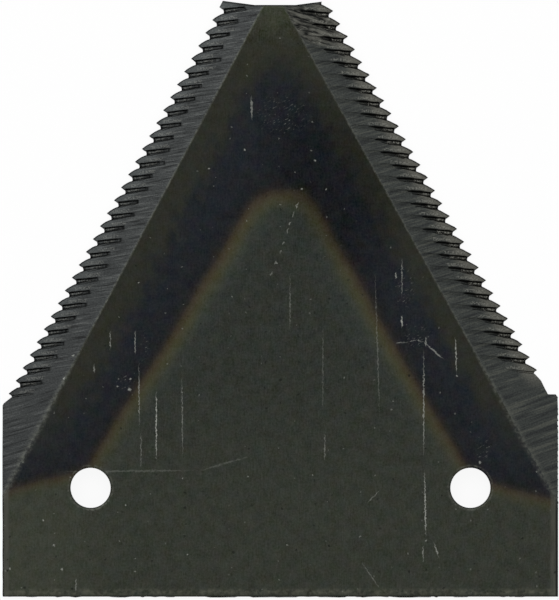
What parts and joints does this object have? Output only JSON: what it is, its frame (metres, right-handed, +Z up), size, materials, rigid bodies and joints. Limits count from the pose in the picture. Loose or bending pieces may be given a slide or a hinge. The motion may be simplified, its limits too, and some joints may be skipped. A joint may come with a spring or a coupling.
{
  "type": "mower sickle section",
  "caption": "Flat trapezoidal mower knife section with bevelled, serrated cutting edges tapering to a blunt nose, and rivet holes through its plain base.",
  "frame": {"origin": "midway between the two rivet holes, on the flat underside", "axes": "+X to the right across the base, +Y from the base towards the nose, +Z up out of the bevelled face"},
  "size_m": [0.0762, 0.0817, 0.0025],
  "materials": {
    "steel": "oil-black hardened steel with heat tint along the edges and bare ground bevels"
  },
  "bodies": {
    "root": {"knife_section": "steel"}
  },
  "joints": []
}
